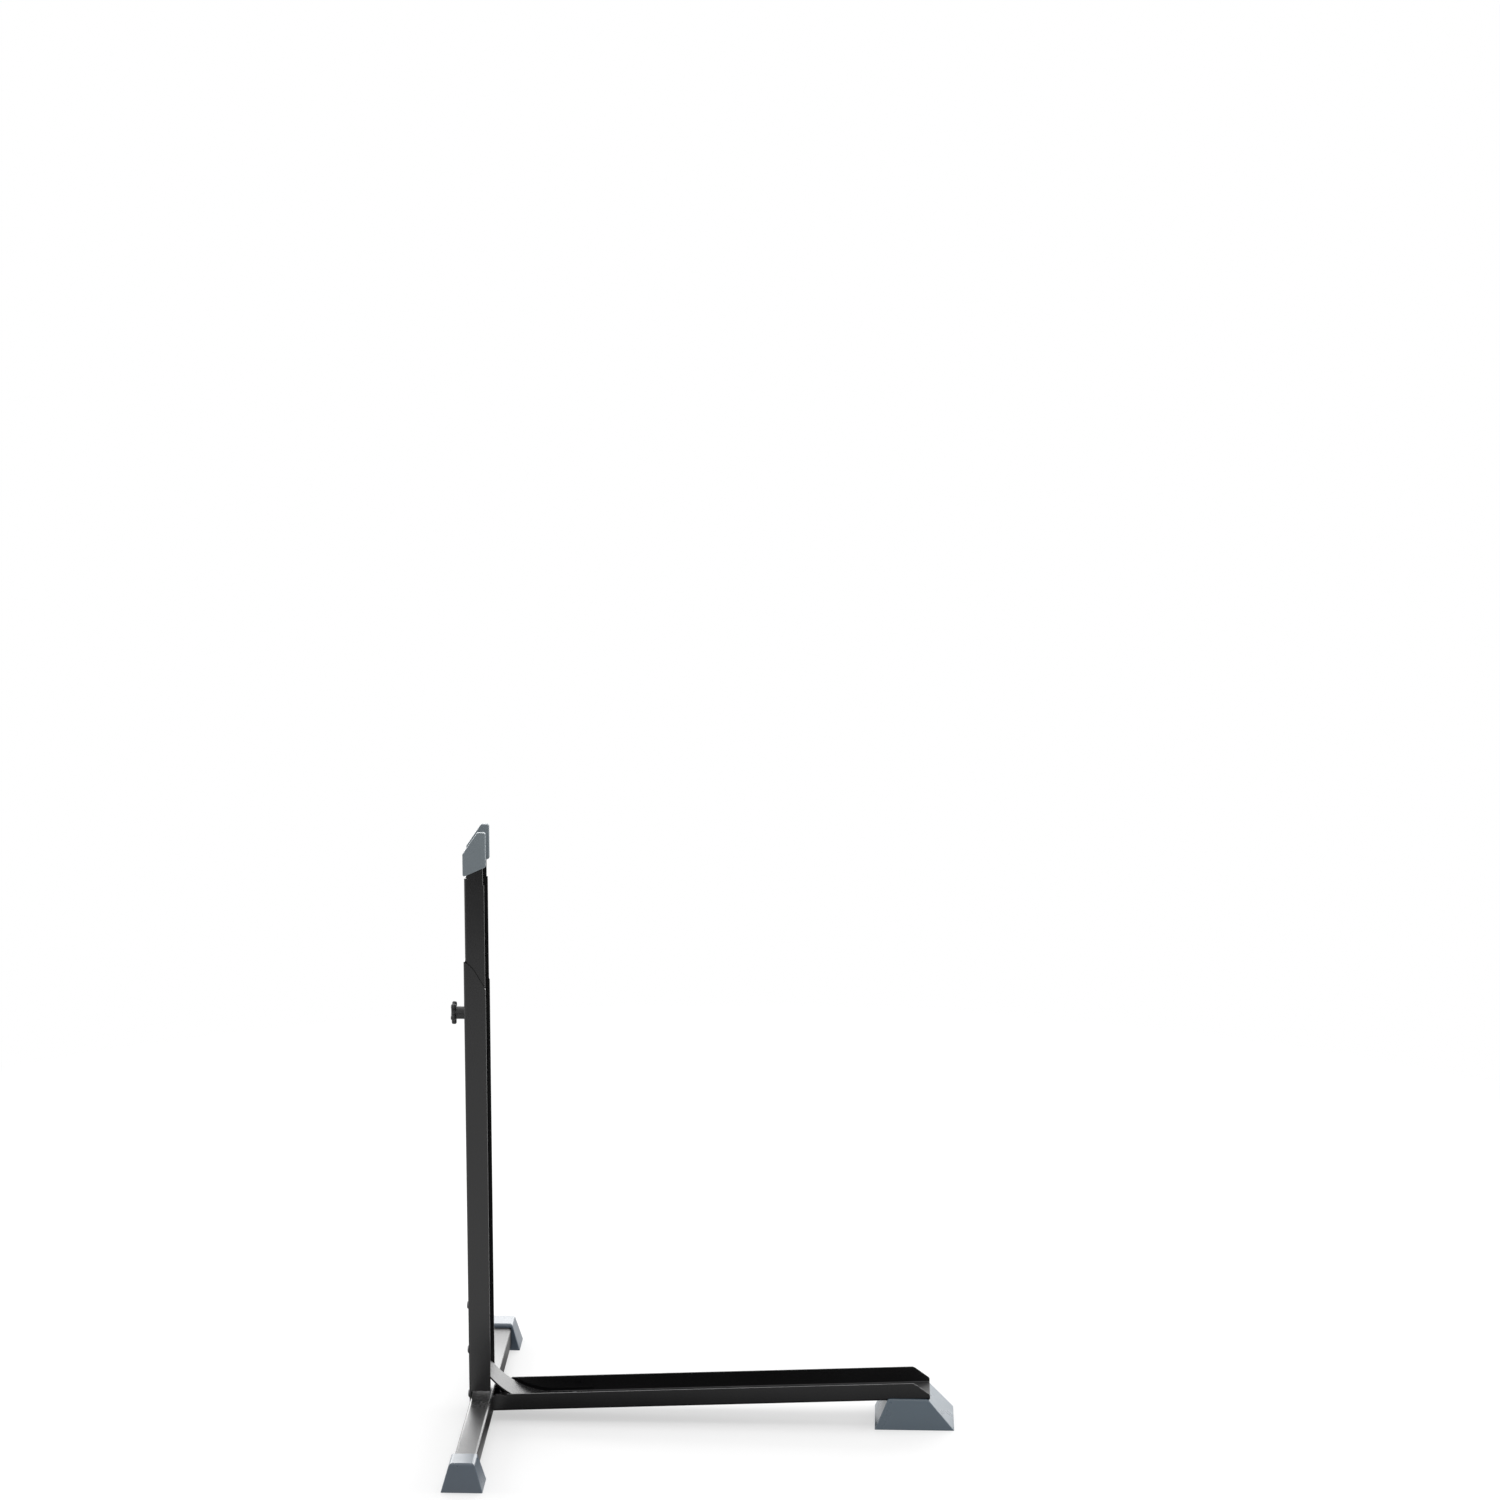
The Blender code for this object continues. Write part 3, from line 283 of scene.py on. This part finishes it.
def camera():
    made = bpy.data.cameras.new("camera")
    made.sensor_width = SENSOR
    made.lens = FOCAL_PIXELS / PHOTO_SIZE * SENSOR
    made.clip_end = CAMERA_CLIP
    seen = bpy.data.objects.new("camera", made)
    bpy.context.scene.collection.objects.link(seen)
    forward = Vector(
        (
            math.sin(CAMERA_YAW) * math.cos(CAMERA_PITCH),
            math.cos(CAMERA_YAW) * math.cos(CAMERA_PITCH),
            -math.sin(CAMERA_PITCH),
        )
    )
    level = Vector((math.cos(CAMERA_YAW), -math.sin(CAMERA_YAW), 0.0))
    above = level.cross(forward)
    right = math.cos(CAMERA_ROLL) * level + math.sin(CAMERA_ROLL) * above
    up = -math.sin(CAMERA_ROLL) * level + math.cos(CAMERA_ROLL) * above
    turn = Matrix((right, up, -forward)).transposed().to_4x4()
    seen.matrix_world = Matrix.Translation(CAMERA_PLACE) @ turn
    bpy.context.scene.camera = seen


def floor_shares(shader, axes):
    """How much of the floor's brightness is left in reflections, beside the rail."""
    in_front = shader.ramp(axes.outputs["Y"], RAIL_SHADE_IN_REFLECTIONS)
    beside_rail = shader.spread(axes.outputs["X"], 0.0, 1.0, RAIL_SHADE_START)
    behind = shader.ramp(axes.outputs["Y"], REAR_SHADE_IN_REFLECTIONS)
    past_rail = shader.spread(axes.outputs["X"], 0.0, 1.0, REAR_SHADE_END)
    front_share = shader.mix(beside_rail, WHITE, in_front)
    rear_share = shader.mix(past_rail, behind, WHITE)
    return shader.product(front_share, rear_share)


def floor():
    """White, with the rack's shadow on it. Reflections show it as bright as the stops above say."""
    reach = FLOOR_REACH
    points = [(-reach, -reach, 0), (reach, -reach, 0), (reach, reach, 0), (-reach, reach, 0)]
    mesh = bpy.data.meshes.new("floor")
    mesh.from_pydata(points, [], [(0, 1, 2, 3)])
    made = bpy.data.objects.new("floor", mesh)
    bpy.context.scene.collection.objects.link(made)

    shader = Shader("floor")
    place = shader.place()
    axes = shader.node("SeparateXYZ", Vector=place)
    radius = shader.node("VectorMath", Vector=place)
    radius.operation = "LENGTH"
    shaded = shader.node("BsdfDiffuse", Color=(FLOOR_COLOUR, FLOOR_COLOUR, FLOOR_COLOUR, 1.0))
    white = shader.node("Emission", Strength=1.0)
    fade = shader.spread(radius.outputs["Value"], 1.0 - SHADE_STRENGTH, 1.0, SHADE_RADIUS)
    seen = shader.mix_surfaces(fade, shaded.outputs[0], white.outputs[0])
    glow = shader.ramp(axes.outputs["Y"], FLOOR_IN_REFLECTIONS)
    reflected = shader.node("Emission", Color=glow, Strength=floor_shares(shader, axes))
    path = shader.node("LightPath")
    surface = shader.mix_surfaces(path.outputs["Is Glossy Ray"], seen, reflected.outputs[0])
    shader.links.new(surface, shader.nodes["Material Output"].inputs["Surface"])
    shader.nodes.remove(shader.surface)
    made.data.materials.append(shader.material)


def area_light(name, place, aim, size, power):
    lamp = bpy.data.lights.new(name, "AREA")
    lamp.shape = "RECTANGLE"
    lamp.size, lamp.size_y = size
    lamp.energy = power
    made = bpy.data.objects.new(name, lamp)
    made.location = place
    direction = Vector(aim) - Vector(place)
    made.rotation_euler = direction.to_track_quat("-Z", "Y").to_euler()
    made.visible_camera = False
    bpy.context.scene.collection.objects.link(made)


def world():
    """White where the camera, a mirror or glass sees it, soft grey as a light."""
    made = bpy.data.worlds.new("studio")
    bpy.context.scene.world = made
    made.use_nodes = True
    nodes = made.node_tree.nodes
    links = made.node_tree.links
    background = nodes["Background"]
    background.inputs["Color"].default_value = (AMBIENT, AMBIENT, AMBIENT, 1.0)
    white = nodes.new("ShaderNodeBackground")
    white.inputs["Color"].default_value = WHITE
    path = nodes.new("ShaderNodeLightPath")
    seen = path.outputs["Is Camera Ray"]
    for ray in ("Is Glossy Ray", "Is Transmission Ray"):
        either = nodes.new("ShaderNodeMath")
        either.operation = "MAXIMUM"
        links.new(seen, either.inputs[0])
        links.new(path.outputs[ray], either.inputs[1])
        seen = either.outputs["Value"]
    mixed = nodes.new("ShaderNodeMixShader")
    links.new(seen, mixed.inputs["Fac"])
    links.new(background.outputs["Background"], mixed.inputs[1])
    links.new(white.outputs["Background"], mixed.inputs[2])
    links.new(mixed.outputs["Shader"], nodes["World Output"].inputs["Surface"])


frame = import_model()

black_paint = powder_coat("black_paint", PAINT_BLACK, roughness=0.20)
rail_paint = powder_coat("rail_paint", PAINT_BLACK, roughness=0.20, worn=0.62)
bar_gloss = enamel("bar_gloss", (0.010, 0.010, 0.0105), roughness=0.24, shine=1.88, rubbed=0.44)
brace_gloss = enamel("brace_gloss", (0.012, 0.012, 0.0125), roughness=0.26, shine=1.31)
# The crossbar feet and the rail foot are one plastic. The feet's copy is painted darker (painted
# shade) and the rail foot's copy lighter (painted light), so their fronts look evenly lit.
foot_plastic_painted_shade = moulded("foot_plastic_painted_shade", (0.040, 0.062, 0.088), roughness=0.30, shine=1.70)
rail_foot_plastic_painted_light = moulded("rail_foot_plastic_painted_light", (0.068, 0.099, 0.128), roughness=0.30, shine=1.62)
cap_rubber = moulded("cap_rubber", (0.17, 0.20, 0.22), roughness=0.42)
black_steel = steel("black_steel", (0.09, 0.09, 0.095), roughness=0.35)
zinc_steel = steel("zinc_steel", (0.60, 0.60, 0.62), roughness=0.30)
black_plastic = moulded("black_plastic", (0.018, 0.018, 0.0185), roughness=0.40)

LOOKS = {  # every other node is a screw, a nut or another small part of black steel
    black_paint: ["lower_post", "upper_post"],
    rail_paint: ["base_rail"],
    bar_gloss: ["crossbar"],
    brace_gloss: ["corner_brace"],
    foot_plastic_painted_shade: ["crossbar_foot_near", "crossbar_foot_far"],
    rail_foot_plastic_painted_light: ["rail_foot"],
    cap_rubber: ["prong_cap_near", "prong_cap_far"],
    zinc_steel: ["clamp_bolt", "knob_washer", "knob_insert"],
    black_plastic: ["knob_head"],
}
material_of = {node: material for material, nodes in LOOKS.items() for node in nodes}
for node, target in frame["nodes"].items():
    dress(target, material_of.get(node, black_steel))

camera()
floor()
world()
for name, values in LIGHTS.items():
    area_light(name, *values)
bpy.context.scene.view_settings.view_transform = "Standard"
